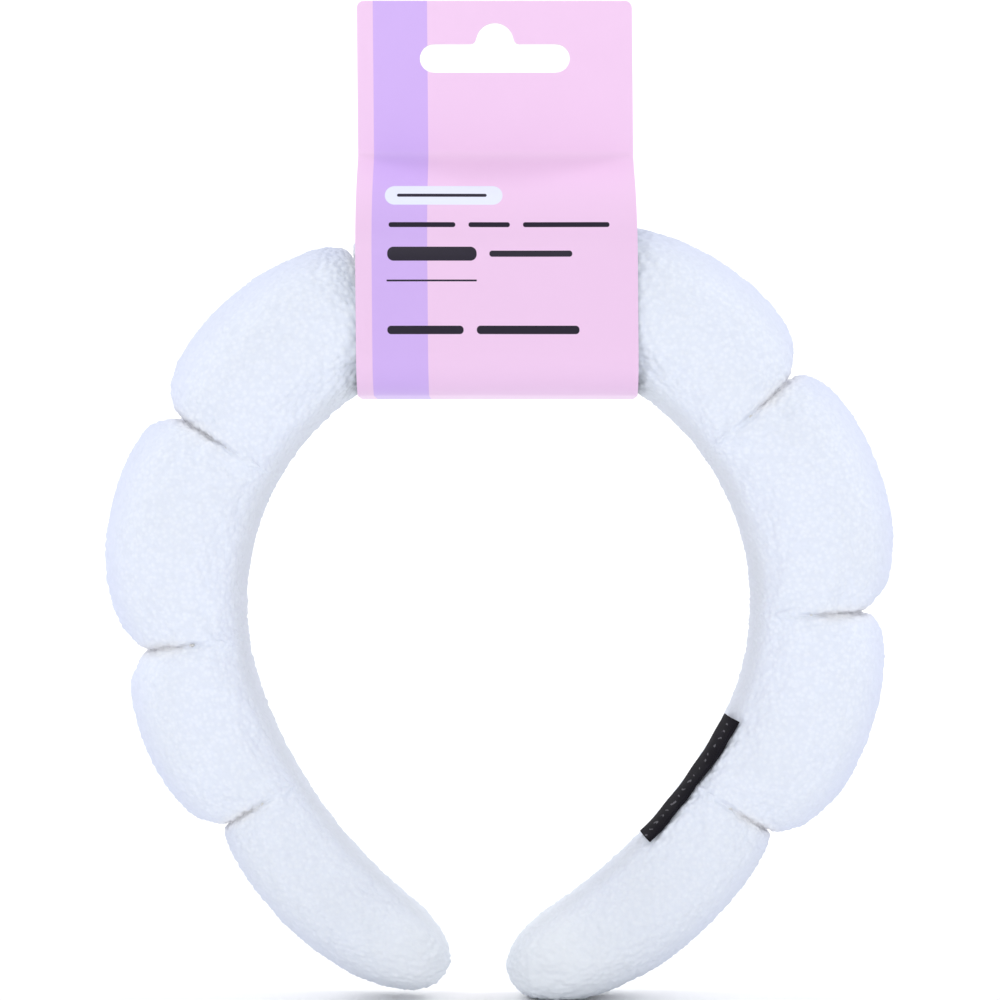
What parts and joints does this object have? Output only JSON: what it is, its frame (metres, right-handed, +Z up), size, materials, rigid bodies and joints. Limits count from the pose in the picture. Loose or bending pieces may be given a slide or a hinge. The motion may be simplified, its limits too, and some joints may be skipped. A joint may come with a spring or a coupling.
{
  "type": "spa headband",
  "caption": "Puffy terry headband cinched into plump bubbles round a springy horseshoe core, on a folded header card with a hang slot.",
  "frame": {"origin": "on the floor under the middle of the overall box, with the band standing on its leg tips", "axes": "+Z up from the tips to the hang slot, +X towards the wearer's left as the front is looked at, to the leg with the label, -Y the front of the card"},
  "size_m": [0.1698, 0.0434, 0.2179],
  "materials": {
    "terry": "matt terry pile",
    "foam": "open-cell foam",
    "core": "smooth",
    "thread": "twisted thread",
    "label": "woven tape",
    "card": "satin printed board"
  },
  "bodies": {
    "crown": {"terry_crown": "terry", "foam_crown": "foam", "core_crown": "core", "cinch_thread_left_1": "thread", "cinch_thread_right_1": "thread"},
    "left_upper": {"terry_left_upper": "terry", "foam_left_upper": "foam", "core_left_upper": "core", "cinch_thread_left_2": "thread"},
    "left_middle": {"terry_left_middle": "terry", "foam_left_middle": "foam", "core_left_middle": "core", "cinch_thread_left_3": "thread"},
    "left_lower": {"terry_left_lower": "terry", "foam_left_lower": "foam", "core_left_lower": "core", "cinch_thread_left_4": "thread"},
    "left_end": {"terry_left_end": "terry", "foam_left_end": "foam", "core_left_end": "core"},
    "right_upper": {"terry_right_upper": "terry", "foam_right_upper": "foam", "core_right_upper": "core", "cinch_thread_right_2": "thread"},
    "right_middle": {"terry_right_middle": "terry", "foam_right_middle": "foam", "core_right_middle": "core", "cinch_thread_right_3": "thread"},
    "right_lower": {"terry_right_lower": "terry", "foam_right_lower": "foam", "core_right_lower": "core", "cinch_thread_right_4": "thread", "woven_label": "label"},
    "right_end": {"terry_right_end": "terry", "foam_right_end": "foam", "core_right_end": "core"},
    "card": {"header_card": "card"}
  },
  "joints": [
    {"name": "left_bend_1", "type": "hinge", "parent": "crown", "child": "left_upper", "pos_m": [-0.02356, 0, 0.14152], "axis": [0, 1, 0], "range_deg": [-1.2, 7.5], "stiffness_Nm_per_rad": 4.6},
    {"name": "left_bend_2", "type": "hinge", "parent": "left_upper", "child": "left_middle", "pos_m": [-0.05236, 0, 0.11613], "axis": [0, 1, 0], "range_deg": [-1.02, 6.38]},
    {"name": "left_bend_3", "type": "hinge", "parent": "left_middle", "child": "left_lower", "pos_m": [-0.05989, 0, 0.07827], "axis": [0, 1, 0], "range_deg": [-0.72, 4.5]},
    {"name": "left_bend_4", "type": "hinge", "parent": "left_lower", "child": "left_end", "pos_m": [-0.04719, 0, 0.04569], "axis": [0, 1, 0], "range_deg": [-0.3, 1.88]},
    {"name": "right_bend_1", "type": "hinge", "parent": "crown", "child": "right_upper", "pos_m": [0.01526, 0, 0.14415], "axis": [0, -1, 0], "range_deg": [-1.2, 7.5], "stiffness_Nm_per_rad": 4.6},
    {"name": "right_bend_2", "type": "hinge", "parent": "right_upper", "child": "right_middle", "pos_m": [0.04789, 0, 0.12201], "axis": [0, -1, 0], "range_deg": [-1.02, 6.38]},
    {"name": "right_bend_3", "type": "hinge", "parent": "right_middle", "child": "right_lower", "pos_m": [0.05976, 0, 0.08408], "axis": [0, -1, 0], "range_deg": [-0.72, 4.5]},
    {"name": "right_bend_4", "type": "hinge", "parent": "right_lower", "child": "right_end", "pos_m": [0.04499, 0, 0.04545], "axis": [0, -1, 0], "range_deg": [-0.3, 1.88]},
    {"name": "card_swing", "type": "hinge", "parent": "crown", "child": "card", "pos_m": [-0.0003, 0, 0.0861], "axis": [0, 1, 0], "range_deg": [-6, 6]}
  ],
  "couplings": [
    {"joint": "left_bend_2", "follows": "left_bend_1", "ratio": 0.85},
    {"joint": "left_bend_3", "follows": "left_bend_1", "ratio": 0.6},
    {"joint": "left_bend_4", "follows": "left_bend_1", "ratio": 0.25},
    {"joint": "right_bend_2", "follows": "right_bend_1", "ratio": 0.85},
    {"joint": "right_bend_3", "follows": "right_bend_1", "ratio": 0.6},
    {"joint": "right_bend_4", "follows": "right_bend_1", "ratio": 0.25}
  ]
}
